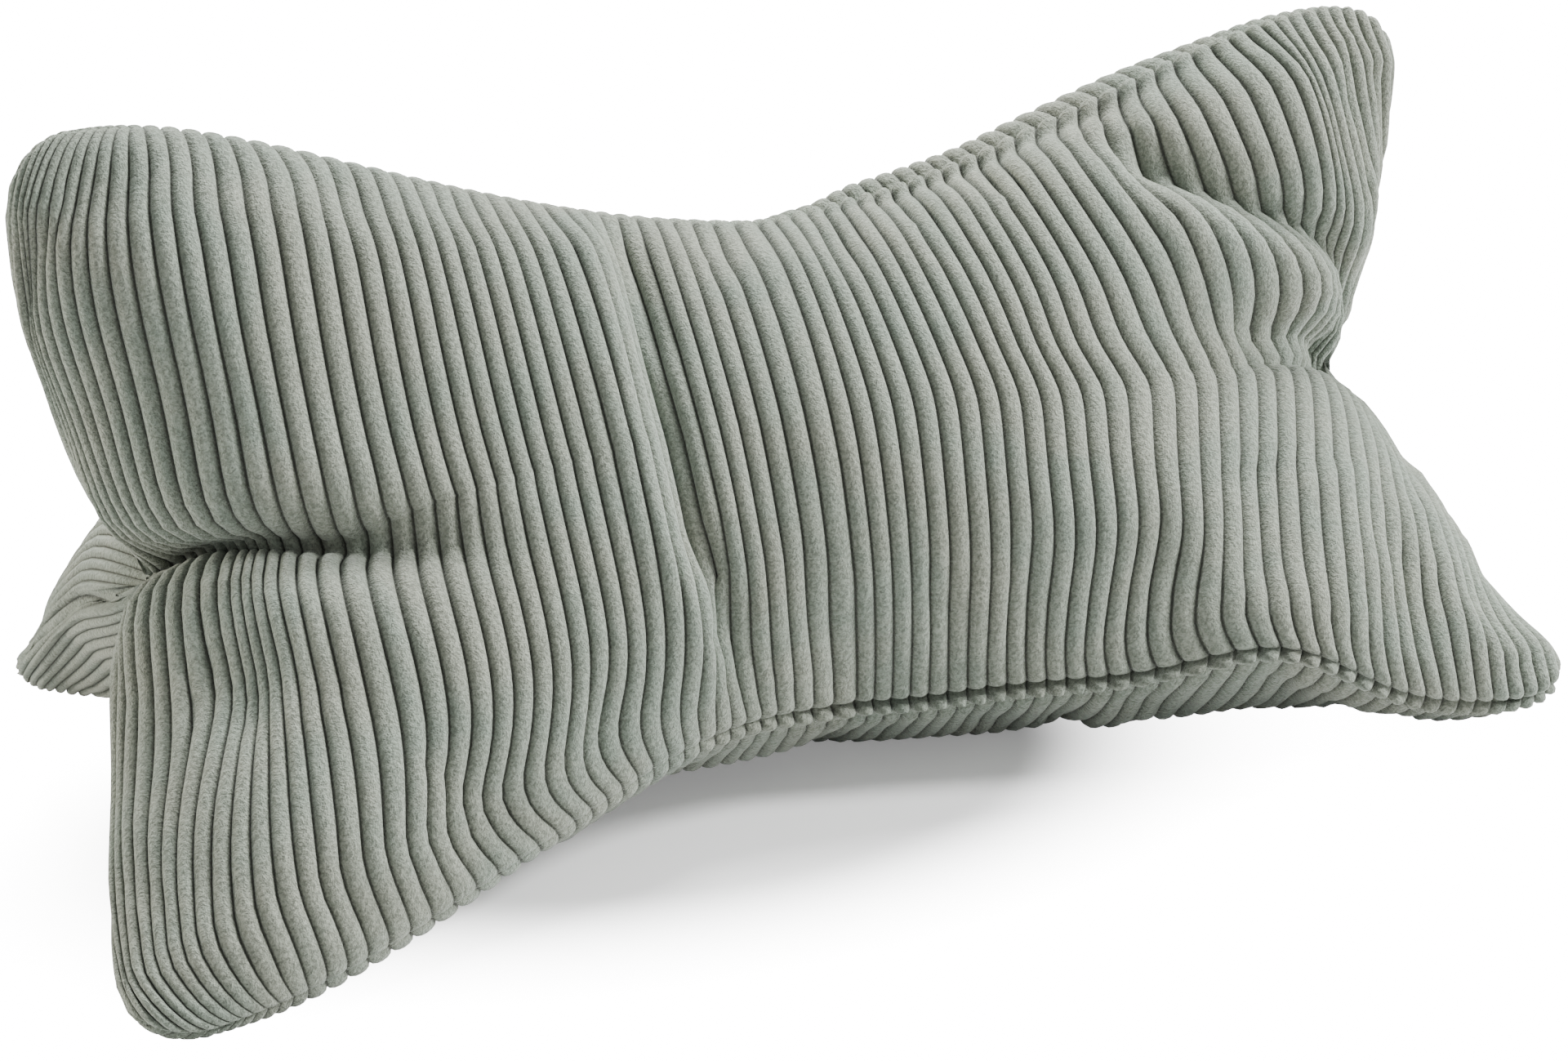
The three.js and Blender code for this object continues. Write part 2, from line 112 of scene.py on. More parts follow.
# %% End edge
join_x = EAR_X - EAR_TIP_RADIUS * math.sin(SEAM_SLOPE)
join_r = EAR_RADIUS + EAR_TIP_RADIUS * math.cos(SEAM_SLOPE)
seam_power = math.tan(SEAM_SLOPE) * join_x / (join_r - WAIST_RADIUS)
notch_reach = math.hypot(EAR_X - POLE_X, EAR_RADIUS)
notch_turn = math.atan2(EAR_RADIUS, EAR_X - POLE_X) - math.asin(EAR_TIP_RADIUS / notch_reach)
notch_length = math.sqrt(notch_reach ** 2 - EAR_TIP_RADIUS ** 2)
tip_from = notch_turn - math.pi / 2
tip_to = math.pi / 2 + SEAM_SLOPE
end_length = notch_length + EAR_TIP_RADIUS * (tip_to - tip_from)
TIP_SHARE = (notch_length - EAR_TIP_RADIUS * tip_from) / end_length
print("end edge", round(end_length, 1), "mm, ear tip at share", round(TIP_SHARE, 3))


def end_edge(share):
    run = share * end_length
    turn = tip_from + (run - notch_length) / EAR_TIP_RADIUS
    straight = run < notch_length
    x = np.where(straight, POLE_X + run * math.cos(notch_turn), EAR_X + EAR_TIP_RADIUS * np.cos(turn))
    u = np.where(straight, run * math.sin(notch_turn), EAR_RADIUS + EAR_TIP_RADIUS * np.sin(turn))
    return x, u


# %% [markdown]
# ## One half panel before it is placed
# A half panel runs from the panel's middle line (share 0) to its long seam (share 1), and
# from the waist (t 0) to the end edge (t 1). On the real pillow the filling rounds it
# between those lines. Each cross-section is one Bezier curve of four points, whose start
# folds in towards the pole, and that makes the groove between two ears. Subdivided boxes
# could be pushed to the same form, but here the seam stays exactly where it is sewn.

# %% Half panel form
PANEL_HALF = 60.0                  # degrees from the middle of a panel to each of its seams
PANEL_SIN = math.sin(math.radians(PANEL_HALF))
PANEL_COS = 0.5                    # exactly, because the angle is 60 degrees
EDGE_PULL = 3                      # how late the cross-sections turn into the end edge
BLUNT_FADE = 6                     # how fast the bluntness fades away from the middle line


def half_panel_form(t, share):
    """Points (x, along the seam's direction, off the seam) on a grid of t by share."""
    t = t[:, None]
    share = share[None, :]
    crown = WAIST_CROWN * np.maximum(1 - t ** CROWN_FALL, 0) ** (1 / CROWN_ROUND)
    start_u, start_v = crown * PANEL_COS, crown * PANEL_SIN
    seam_r = WAIST_RADIUS + (join_r - WAIST_RADIUS) * t ** seam_power
    chord = np.hypot(seam_r - start_u, start_v)
    first = np.radians(PANEL_HALF - 90 + GROOVE_ANGLE * t ** GROOVE_START)
    last = np.radians(90 + (EDGE_ANGLE - 90) * t)
    us = [
        start_u,
        start_u + np.cos(first) * chord * NOTCH_HANDLE,
        seam_r - np.cos(last) * chord * SEAM_HANDLE,
        seam_r,
    ]
    vs = [
        start_v,
        start_v + np.sin(first) * chord * NOTCH_HANDLE,
        np.sin(last) * chord * SEAM_HANDLE,
        0 * seam_r,
    ]
    weights = [(1 - share) ** 3, 3 * (1 - share) ** 2 * share, 3 * (1 - share) * share ** 2, share ** 3]
    u = sum(w * c for w, c in zip(weights, us))
    v = sum(w * c for w, c in zip(weights, vs))
    end_x, end_u = end_edge(share)
    closing = np.clip((t - BLUNT_START) / (1 - BLUNT_START), 0, 1)
    thin = np.sqrt(1 - closing ** 2)
    pull = t ** EDGE_PULL + (1 - thin - t ** EDGE_PULL) * (1 - share) ** BLUNT_FADE
    x = t * (join_x + (end_x - join_x) * t ** EAR_BOW)
    return np.stack([x, u + (end_u - u) * pull, v * thin], -1)


waist_middle = half_panel_form(np.zeros(1), np.zeros(1))[0, 0]
print("a panel stands", waist_middle[2].round(1), "mm off its seam plane at the waist")

# %% [markdown]
# ## Counting wales along the cloth
# Wales run straight on the bolt and bend only as the cloth does. So a wale is found by
# walking over the form from the waist and counting, as one would with a fingernail. That
# takes a few lines of numpy, where a shader could only stretch one pattern over it all.

# %% Wale count
FORM_STEPS = 120                   # points of the form from the waist to the end edge
FORM_LINES = 97                    # lines of them from the middle of a panel to its seam
FORM_CROWD = 1.6                   # above 1, the points lie closer together near the end
EASE_WIDTH = 0.09                  # share of half a panel over which wales round its middle
EASE_CUT = 3                       # widths beyond which a neighbour isn't counted in
EASE_REACH = 0.22                  # share of half a panel on which they are rounded at all
EASE_SHARP = 4                     # how abruptly the rounding stops there
EASE_STOPS = (0.8, 0.97)           # shares of the length over which the rounding ends
END_RISE = 1.3                     # how soon the wale count climbs between pole and tip
END_STEPS = 2001                   # places on the end edge where a wale may meet it


def smooth(x, low, high):
    t = np.clip((x - low) / (high - low), 0.0, 1.0)
    return t * t * (3.0 - 2.0 * t)


def wale_at_end(cut, share):
    """The wale number where the cloth reaches the end edge."""
    rise = np.sin(np.clip(share / TIP_SHARE, 0, 1) * math.pi / 2) ** END_RISE
    past = np.clip((share - TIP_SHARE) / (1 - TIP_SHARE), 0, 1)
    fall = TIP_WALES * (1 - np.cos(past * math.pi / 2))
    return np.where(share <= TIP_SHARE, cut["pole"] + (cut["tip"] - cut["pole"]) * rise, cut["tip"] - fall)


def eased(count, t, share):
    """Rounds the wales where they cross the panel's middle line, so they have no kink there."""
    steps = int(EASE_CUT * EASE_WIDTH * FORM_LINES)
    kernel = np.exp(-(np.arange(-steps, steps + 1) / FORM_LINES / EASE_WIDTH) ** 2)
    kernel /= kernel.sum()
    mirrored = np.hstack([count[:, steps:0:-1], count])
    padded = np.hstack([mirrored, np.repeat(count[:, -1:], steps, axis=1)])
    soft = np.stack([np.convolve(line, kernel, "valid") for line in padded])
    weight = np.exp(-(share / EASE_REACH) ** EASE_SHARP) * (1 - smooth(t, *EASE_STOPS))[:, None]
    return count + (soft - count) * weight


def counted_form(cut):
    """The form's lines across the panel, its points, and the wale number at each point."""
    share = np.linspace(0, 1, FORM_LINES)
    t = 1 - (1 - np.linspace(0, 1, FORM_STEPS)) ** FORM_CROWD
    form = half_panel_form(t, share)
    step = np.linalg.norm(np.diff(form, axis=0), axis=-1)
    length = np.vstack([np.zeros(FORM_LINES), np.cumsum(step, 0)])
    middle = 0.5 * (length[1:] + length[:-1]) / length[-1]
    dense = np.interp(middle, GATHER_AT, cut["gather"])
    count = np.vstack([np.zeros(FORM_LINES), np.cumsum(dense * step, 0)])
    return share, form, eased(count / count[-1] * wale_at_end(cut, share), t, share)


for side, cut in SIDES.items():
    _, form, count = counted_form(cut)
    seam = np.linalg.norm(np.diff(form[:, -1], axis=0), axis=-1).sum()
    print("side", side, "long seam", seam.round(1), "mm,", (seam / count[-1, -1]).round(2), "mm a wale")

# %% [markdown]
# ## A net along the wales
# `wale_grid` returns a net whose columns lie along the wales and whose rows cross them.
# Past the pole a wale no longer crosses the whole panel: it starts on the notch, or ends
# round the ear's tip. A remeshed surface would have no such columns, and the ribs that
# are raised later need them.

# %% Wale grid
def shares_along(cut, wales, rows):
    """The places across the half panel where each row meets each wale."""
    fine = np.linspace(0, 1, END_STEPS)
    ends = wale_at_end(cut, fine)
    near, far = fine[fine <= TIP_SHARE], fine[fine > TIP_SHARE]
    start = np.interp(wales, ends[: len(near)], near, left=0.0)
    start = np.where(wales <= cut["pole"], 0.0, start)
    stop = np.interp(wales, ends[len(near):][::-1], far[::-1], left=1.0)
    at_tip = wales >= cut["tip"]
    start[at_tip] = TIP_SHARE
    stop[at_tip] = TIP_SHARE
    return start[:, None] + (stop - start)[:, None] * rows[None, :]


def wale_grid(cut, wales, rows, drift=None):
    """The net's points and the place across the half panel at each of them."""
    share, form, count = counted_form(cut)
    lines = np.empty((len(wales), FORM_LINES, 3))
    for j in range(FORM_LINES):
        at = wales if drift is None else wales - drift(wales, share[j])
        for axis in range(3):
            lines[:, j, axis] = np.interp(at, count[:, j], form[:, j, axis])
    shares = shares_along(cut, wales, rows)
    points = np.empty((len(wales), len(rows), 3))
    for i in range(len(wales)):
        for axis in range(3):
            points[i, :, axis] = np.interp(shares[i], share, lines[i, :, axis])
    # Ends on the edge lie exactly on it, so that two panels meet there point by point.
    for sewn, row in ((wales > cut["pole"], 0), (wales > cut["tip"] - TIP_WALES, -1)):
        x, u = end_edge(shares[sewn, row])
        points[sewn, row] = np.stack([x, u, 0 * u], -1)
    points[wales == cut["pole"], 0] = [POLE_X, 0.0, 0.0]
    points[wales >= cut["tip"]] = [EAR_X + EAR_TIP_RADIUS, EAR_RADIUS, 0.0]
    return points, shares


# %% [markdown]
# ## Where the cloth has slipped
# On a pillow that has been handled, the cloth slides a little over its filling, so the
# front panel's wales bow between the seams that hold them. Each slip is a soft spot that
# moves the wales along the pillow. It could be painted as a weight map, but a short list
# of places is easier to read and to change.

# %% Slips
DRIFTS = [
    # wale, across, reach in wales, reach across, drift in wales
    (-34, -0.30, 5.0, 0.30, -2.8),
    (-33, 0.00, 4.0, 0.20, -1.3),
    (-39, 0.60, 5.0, 0.40, 2.2),
    (-18, -0.85, 8.0, 0.22, 2.2),
    (27, 0.08, 5.0, 0.30, -2.2),
    (28, 0.75, 4.0, 0.30, -1.8),
    (14, 0.12, 5.0, 0.16, 0.6),
    (14, -0.50, 6.0, 0.22, -0.6),
    (23, 0.38, 4.0, 0.20, -0.6),
]
SLIP_FADE = 6                      # how sharply a slip stops at the long seam
HELD_AT_WAIST, HELD_AT_POLE = 3, 4    # wales over which a slip fades in and out
print(len(DRIFTS), "slips on the front panel")


def drift_on(panel, half, side):
    """How many wales the cloth has slipped along the pillow: none at the seams and the waist."""
    if panel != "front":
        return None
    pole = SIDES[side]["pole"]

    def drift(wales, share):
        total = np.zeros(len(wales))
        for wale, across, along, wide, amount in DRIFTS:
            away = ((wales * side - wale) / along) ** 2
            total += amount * np.exp(-away - ((share * half - across) / wide) ** 2)
        free = smooth(wales, 0, HELD_AT_WAIST) * smooth(pole - wales, 0, HELD_AT_POLE)
        return total * side * (1 - share ** SLIP_FADE) * free

    return drift


# %% [markdown]
# ## Twelve half panels round the axis
# Three panels, each with two halves on two sides of the waist, are cut by the same rule and
# turned to their place round the axis. Every point keeps what is known about the cloth
# there, such as its wale number and how far along the wale the nearest seam is. A Mirror
# modifier would save work here, but the two ends of this pillow aren't alike.

# %% Half panels in place
NO_SEAM = 1000.0                   # millimetres, further than any seam on a wale


def placed(points, panel, half, side):
    along = half * (points[..., 1] * PANEL_SIN - points[..., 2] * PANEL_COS)
    off = points[..., 1] * PANEL_COS + points[..., 2] * PANEL_SIN
    turn = math.radians(PANELS[panel])
    y = along * math.cos(turn) - off * math.sin(turn)
    z = along * math.sin(turn) + off * math.cos(turn)
    return np.stack([points[..., 0] * side, y, z], -1)


def half_panel(panel, half, side, wales, rows):
    cut = SIDES[side]
    points, shares = wale_grid(cut, wales, rows, drift_on(panel, half, side))
    step = np.linalg.norm(np.diff(points, axis=1), axis=-1)
    run = np.hstack([np.zeros((len(wales), 1)), np.cumsum(step, 1)])
    to_start = np.where((wales > cut["pole"])[:, None], run, NO_SEAM)
    return {
        "half": half,
        "side": side,
        "wales": wales,
        "run": run,
        "inset": np.minimum(to_start, run[:, -1:] - run),
        "pitch": np.linalg.norm(np.gradient(points, wales, axis=0), axis=-1),
        "start": placed(points, panel, half, side),
        "wale": np.repeat(wales[:, None] * side, len(rows), axis=1),
        "across": shares * half,
        "panel": np.full(shares.shape, panel),
    }


def half_panels(wales_for, rows):
    net = []
    for side, cut in SIDES.items():
        wales = wales_for(cut)
        net += [half_panel(panel, half, side, wales, rows) for panel in PANELS for half in (-1, 1)]
    print(len(net), "half panels of", sum(piece["inset"].size for piece in net), "points")
    return net


# %% [markdown]
# ## Sewing the panels together
# Each half panel starts as a bmesh grid. Its points are put in place, and where two grids
# have the same edge they are welded, just as the panels are sewn. A number stored on every
# point tells which corner of the net it came from, and the UV map keeps the wale number
# and the millimetres along the wale, so that the material can follow the cloth. Half of
# the grids are mirrored, so in the end all normals are turned outwards. Joining objects
# and merging by hand would do the same, but not twice in the same way.

# %% Sewing
WELD_WITHIN = 0.0005               # millimetres


def sew(name, net):
    """Welds the nets into one closed mesh and returns it with the net corner behind each point."""
    bm = bmesh.new()
    uv = bm.loops.layers.uv.new("cloth")
    corner = bm.verts.layers.int.new("corner")
    base = 0
    for piece in net:
        columns, rows = piece["start"].shape[:2]
        grid = bmesh.ops.create_grid(bm, x_segments=columns - 1, y_segments=rows - 1, size=1.0)
        faces = set()
        # The new grid reaches from -1 to 1 both ways, which gives each point its column and row.
        for vert in grid["verts"]:
            c = round((vert.co.x + 1) / 2 * (columns - 1))
            r = round((vert.co.y + 1) / 2 * (rows - 1))
            vert[corner] = base + c * rows + r
            vert.co = Vector(piece["start"][c, r])
            faces.update(vert.link_faces)
        for face in faces:
            for loop in face.loops:
                c, r = divmod(loop.vert[corner] - base, rows)
                loop[uv].uv = (piece["wales"][c] * piece["side"], piece["half"] * piece["run"][c, r])
        base += columns * rows
    bmesh.ops.remove_doubles(bm, verts=bm.verts, dist=WELD_WITHIN)
    bmesh.ops.recalc_face_normals(bm, faces=bm.faces)
    mesh = bpy.data.meshes.new(name)
    corners = np.array([vert[corner] for vert in bm.verts])
    open_edges = sum(1 for edge in bm.edges if not edge.is_manifold)
    bm.to_mesh(mesh)
    bm.free()
    print(name, len(mesh.vertices), "points", len(mesh.polygons), "faces", open_edges, "open edges")
    return mesh, corners


def facts_of(net, corners):
    """What is known of each welded point: its place when sewn, its wale, and so on."""
    facts = {}
    for key in ("start", "inset", "pitch", "wale", "across", "panel"):
        values = [piece[key].reshape(-1, *piece[key].shape[2:]) for piece in net]
        facts[key] = np.concatenate(values)[corners]
    return facts


# %% [markdown]
# ## How the filled pillow lies
# Filling pushes each ear its own way, the left half swings a little to the front, and the
# whole leans back on its underside. Each ear's shift is given outward along the pillow, up
# away from the axis, and across, and it fades out towards the waist. Pulls move a stretch
# of a long seam round the pillow, and pushes move one spot. A lattice or a few hooks
# could do this in the editor, and these lists are the same idea in numbers.

# %% Ears and pushes
EARS = [
    {"side": -1, "seam": "top", "out": -4.5, "up": 7.0, "across": -8.0, "rests": False},
    {"side": -1, "seam": "front", "out": 1.0, "up": 18.0, "across": 8.0, "rests": True},
    {"side": -1, "seam": "back", "out": -11.0, "up": 7.5, "across": 13.0, "rests": False},
    {"side": 1, "seam": "top", "out": 5.5, "up": 11.5, "across": -2.0, "rests": False},
    {"side": 1, "seam": "front", "out": -2.0, "up": -1.0, "across": 14.0, "rests": True},
    {"side": 1, "seam": "back", "out": -3.0, "up": 8.0, "across": 8.0, "rests": True},
]
PULLS = [
    # seam, place along the pillow, reach along it, reach round it, shift towards the top
    ("front", 8.0, 40.0, 26.0, -8.0),
    ("front", 122.0, 34.0, 26.0, 18.0),
]
PUSHES = [
    # place on the sewn pillow, how wide the push is felt, shift along, across and up
    ((-POLE_X, 0.0, 0.0), 45.0, (2.0, -3.0, 6.0)),
    ((POLE_X, 0.0, 0.0), 62.0, (0.0, 0.0, 9.0)),
    ((-214.0, 0.0, 112.0), 26.0, (7.0, 0.0, -3.5)),
    ((214.0, 0.0, 112.0), 26.0, (-4.0, 0.0, -1.5)),
]
EAR_FROM, EAR_FULL = 22, 209       # along the pillow, where an ear's shift starts and is full
AXIS_SOFT = 50                     # within this of the axis, turns and shifts fade
AXIS_LEAST = 0.001                 # shortest distance from the axis that is divided by
print(sum(ear["rests"] for ear in EARS), "ears rest on the floor")


def seam_direction(seam):
    turn = math.radians(SEAM_TURN[seam])
    return np.array([0.0, -math.sin(turn), math.cos(turn)])


def off_axis(start):
    return smooth(np.hypot(start[:, 1], start[:, 2]), 0, AXIS_SOFT)


def ear_share(start, ear):
    """How much one ear's shift moves each point: all at that ear, none at the others or the waist."""
    radius = np.maximum(np.hypot(start[:, 1], start[:, 2]), AXIS_LEAST)
    facing = start @ seam_direction(ear["seam"]) / radius
    return (1 + 2 * facing * off_axis(start)) / 3 * smooth(start[:, 0] * ear["side"], EAR_FROM, EAR_FULL)


# %% [markdown]
# ## Bend, bow, twist and lean
# A filled tube of cloth never lies quite straight. The left half bends to the front, both
# ends bow and sag a little, one end is twisted against the other, and the whole leans back
# and to the right. Simple Deform modifiers do each of these, but only one at a time on one
# axis, so the same turns are written out here in the order in which they happen.

# %% Settling
BEND = {-1: math.radians(5.7), 1: math.radians(-0.9)}
BEND_OVER = 99                     # along the pillow, where the bend is complete
BEND_STEPS = 24
REACH = 220.0                      # half length at which bow, sag and twist are given
BOW_FRONT = 3.7
SAG = 1.1
TWIST = math.radians(-2.5)
LEAN_BACK = math.radians(6.6)
LEAN_RIGHT = math.radians(0.85)
print("bend", {side: round(math.degrees(angle), 1) for side, angle in BEND.items()}, "degrees")


def turned(points, first, second, angle):
    """Turns points from axis `first` towards axis `second`."""
    out = points.copy()
    c, s = np.cos(angle), np.sin(angle)
    out[:, first] = c * points[:, first] - s * points[:, second]
    out[:, second] = s * points[:, first] + c * points[:, second]
    return out


def bent(points, side):
    """Bends each half as a tube: the axis is walked in short steps, and sections stay whole."""
    out = points.copy()
    for which, angle in BEND.items():
        mine = side == which
        reach = points[mine, 0] * which
        x, y = np.zeros_like(reach), np.zeros_like(reach)
        for k in range(BEND_STEPS):
            turn = angle * smooth((k + 0.5) / BEND_STEPS * reach, 0, BEND_OVER)
            x += np.cos(turn) * reach / BEND_STEPS
            y -= np.sin(turn) * reach / BEND_STEPS
        turn = angle * smooth(reach, 0, BEND_OVER)
        out[mine, 0] = which * (x + points[mine, 1] * np.sin(turn))
        out[mine, 1] = y + points[mine, 1] * np.cos(turn)
    return out


def settled(start):
    side = np.where(start[:, 0] < 0, -1, 1)
    points = start.copy()
    for ear in EARS:
        share = ear_share(start, ear) * (side == ear["side"])
        toward = seam_direction(ear["seam"])
        sideways = np.cross([1.0, 0.0, 0.0], toward)
        points[:, 0] += ear["side"] * ear["out"] * share
        points += (ear["up"] * share * off_axis(start))[:, None] * toward
        points += (ear["across"] * share * off_axis(start))[:, None] * sideways
    for seam, at, along, wide, shift in PULLS:
        toward = seam_direction(seam)
        aside = np.linalg.norm(start[:, 1:] - (start @ toward)[:, None] * toward[1:], axis=1)
        pull = np.exp(-((start[:, 0] - at) / along) ** 2 - (aside / wide) ** 2) * (start @ toward > 0)
        points -= (shift * pull)[:, None] * np.cross([1.0, 0.0, 0.0], toward)
    for spot, reach, shift in PUSHES:
        felt = np.exp(-(np.linalg.norm(start - spot, axis=1) / reach) ** 2)
        points += felt[:, None] * np.array(shift)
    points[:, 0] *= np.where(side < 0, SIDES[-1]["stretch"], SIDES[1]["stretch"])
    points = bent(points, side)
    points[:, 1] -= BOW_FRONT * (points[:, 0] / REACH) ** 2
    points[:, 2] -= SAG * (points[:, 0] / REACH) ** 2
    points = turned(points, 1, 2, TWIST * points[:, 0] / REACH)
    points = turned(points, 1, 2, -LEAN_BACK)
    return turned(points, 2, 0, LEAN_RIGHT)


# %% [markdown]
# ## Folds
# Each fold is a soft trough (negative depth) or ridge along a line on one panel. A line's
# points give the wale, from -42 at the left end to 38 at the right, and the place across
# the panel from -1 to 1: from the lower seam to the top one on the front, from the back to
# the front on the base, and from the top down on the back. They were placed against
# the photograph. Sculpt brushes would do it too, but a stroke can't be moved afterwards.

# %% Folds
FOLDS = [
    # panel, width, depth, then the wale and the place across for each point of the line
    ("front", 6, -6, [
        (-40, 0.0), (-36, 0.02), (-32, 0.07), (-28.5, 0.08), (-26.5, 0.04), (-24, -0.06), (-18, -0.21),
    ]),
    ("front", 6, -2, [(-25, -0.02), (-22.4, -0.1), (-19, -0.19)]),
    ("front", 12, 7, [(-42, 0.15), (-36, 0.17), (-30, 0.2), (-26, 0.2), (-22, 0.08), (-18, -0.03)]),
    ("front", 10, 6, [(-42, -0.14), (-36, -0.16), (-30, -0.16), (-26, -0.24), (-21, -0.4)]),
    ("front", 9, -4, [(-35, -0.26), (-31, -0.38), (-30, -0.48)]),
    ("front", 9, -6, [(-7, 0.95), (-8, 0.14), (-8, -0.3), (-5, -0.95)]),
    ("front", 15, -3, [(-3, 0.9), (-4, 0), (-1, -0.9)]),
    ("front", 6, 3, [(-9.6, 0.9), (-11, 0.14), (-10.6, -0.3), (-7.4, -0.95)]),
    ("front", 8, -9.5, [(19, 0.72), (21, 0.55), (23, 0.46), (26, 0.38), (31, 0.24)]),
    ("front", 10, 4.5, [(18.5, 0.5), (20.7, 0.4), (23, 0.32), (26, 0.22)]),
    ("front", 8, -8, [(19, 0.15), (21, 0.12), (24, 0.1), (31, 0.04)]),
    ("front", 11, -3, [(20, -0.3), (20, -0.8)]),
    ("front", 11, 2.5, [(24, -0.35), (25, -0.75)]),
    ("front", 13, 5, [(32, -0.26), (34.5, -0.4), (36.5, -0.55)]),
    ("front", 8, -2.5, [(5, 0.9), (14, 0.9), (27, 0.9)]),
    ("base", 12, -6, [(-42, 0.0), (-30, 0.0)]),
    ("base", 34, 5, [(-16, -0.05), (-4, -0.1), (8, 0.05), (20, 0.25), (30, 0.45)]),
    ("base", 14, -5, [(-14, 0.42), (-4, 0.4), (4, 0.42)]),
    ("base", 22, 5, [(13, 0.42), (18, 0.48), (24, 0.56), (30, 0.66)]),
    ("base", 12, -6, [(24, 0.0), (33, 0.0)]),
    ("back", 12, -7, [(-42, 0.0), (-29, -0.05)]),
    ("back", 12, -7, [(20, 0.0), (33, 0.04)]),
    ("back", 12, -4, [(-3, 0.7), (1, -0.7)]),
    ("back", 6, 4.5, [(3, -0.92), (14, -0.92), (29, -0.92)]),
]
WALE_PITCH = 5.2                   # mean width of a wale, for distances on a panel
HALF_PANEL = 84.0                  # middle of a panel to its long seam, along the cloth
FOLD_ROUND = 1.7                   # roundness of a fold's section
FOLD_AT_END = 0.25                 # share of the depth left at the ends of its line
FOLD_IN, FOLD_OUT = 0.15, 0.35     # shares of its line over which a fold starts and stops
FOLD_FROM_SEAM = 9                 # within this of a seam, folds fade out
print(len(FOLDS), "folds")


def fold_height(panel, wale, across):
    """How far the folds lift each point of the cloth, or sink it."""
    height = np.zeros(len(wale))
    for name, width, depth, line in FOLDS:
        at = np.array(line) * [WALE_PITCH, HALF_PANEL]
        runs = np.diff(at, axis=0)
        lengths = np.linalg.norm(runs, axis=1)
        nearest, walked = np.full(len(wale), np.inf), np.zeros(len(wale))
        for k, (run, length) in enumerate(zip(runs, lengths)):
            x, y = wale * WALE_PITCH - at[k, 0], across * HALF_PANEL - at[k, 1]
            along = np.clip((x * run[0] + y * run[1]) / length ** 2, 0, 1)
            away = np.hypot(x - along * run[0], y - along * run[1])
            walked = np.where(away < nearest, lengths[:k].sum() + along * length, walked)
            nearest = np.minimum(nearest, away)
        share = walked / lengths.sum()
        fade = FOLD_AT_END + (1 - FOLD_AT_END) * smooth(share, 0, FOLD_IN) * smooth(1 - share, 0, FOLD_OUT)
        height += np.where(panel == name, depth * fade * np.exp(-(nearest / width) ** FOLD_ROUND), 0.0)
    return height


def point_normals(mesh, points):
    """Directions square to the cloth, from the welded faces."""
    mesh.vertices.foreach_set("co", points.ravel())
    mesh.update()
    normals = np.empty(len(points) * 3)
    mesh.vertices.foreach_get("normal", normals)
    return normals.reshape(-1, 3)


def folded(mesh, points, facts):
    normals = point_normals(mesh, points)
    height = fold_height(facts["panel"], facts["wale"], facts["across"])
    return points + normals * (height * smooth(facts["inset"], 0, FOLD_FROM_SEAM))[:, None]


# %% [markdown]
# ## Lay down the fine net
# Six columns go to each wale, close together in the gap between two wales, because the gap
# is narrow and the crest is broad. Rows get closer where a seam can be, because the cloth
# turns in there. Subdividing everywhere would take many times the faces for that detail.

# %% Fine net
WALE_STOPS = [0.0, 0.09, 0.27, 0.5, 0.73, 0.91]    # shares of a wale's width
ROW_STEPS = [1.2, 1.8, 2.6, 3.4] + [4.0] * 17 + [3.6, 3.0, 2.4, 1.9, 1.5, 1.1, 0.8, 0.6, 0.5]
fine_rows = np.concatenate([[0.0], np.cumsum(ROW_STEPS)]) / sum(ROW_STEPS)


def fine_wales(cut):
    # The outermost wale ends on the tip, so its last two stops make way for one there.
    whole = [n + stop for n in range(int(cut["tip"])) for stop in WALE_STOPS]
    return np.array(whole[:-2] + [cut["tip"]])


net = half_panels(fine_wales, fine_rows)
mesh, corners = sew("pillow_corduroy", net)
facts = facts_of(net, corners)
points = folded(mesh, settled(facts["start"]), facts)
print("lies from", points.min(0).round(1), "to", points.max(0).round(1), "mm")

# %% [markdown]
# ## Filling the cover
# A form that is only calculated is too even. Blender's Cloth blows up a coarse copy of the
# sewn cover, one column to a wale, whose cloth is cut slightly too large and whose seams
# are held. Each point's movement is capped, and none is left at the seams, so the pillow
# keeps its outline and takes on small swells and hollows.

# %% Blow up a coarse cover
FILL_PRESSURE = 4.0
FILL_SPARE_CLOTH = 0.045           # share by which the cloth is cut too large
FILL_FRAMES = 20
FILL_CAP = 3.5                     # most that a point may move
FILL_LEAST = 0.0001                # shortest movement that is divided by
FILL_FROM_SEAM = 28                # within this of a seam, the movement fades out
ON_SEAM = 0.01                     # within this of a seam, a point is held by it
COARSE_ROWS = np.linspace(0, 1, 19)
TO_METRES, TO_MM = 0.001, 1000.0   # Cloth and the finished piece are in metres


def coarse_wales(cut):
    return np.unique([*range(int(cut["tip"])), cut["pole"], cut["tip"]])


def add_cloth(cover):
    """Cloth with air inside, held along the vertex group `seams`."""
    cloth = cover.modifiers.new("cloth", "CLOTH")
    cloth.settings.quality = 6
    cloth.settings.mass = 0.3
    cloth.settings.tension_stiffness = 15.0
    cloth.settings.compression_stiffness = 15.0
    cloth.settings.shear_stiffness = 5.0
    cloth.settings.bending_stiffness = 0.5
    cloth.settings.use_pressure = True
    cloth.settings.uniform_pressure_force = FILL_PRESSURE
    cloth.settings.shrink_min = -FILL_SPARE_CLOTH
    cloth.settings.vertex_group_mass = "seams"
    cloth.settings.effector_weights.gravity = 0.0
    cloth.collision_settings.use_collision = False
    cloth.point_cache.frame_start = 1
    cloth.point_cache.frame_end = FILL_FRAMES


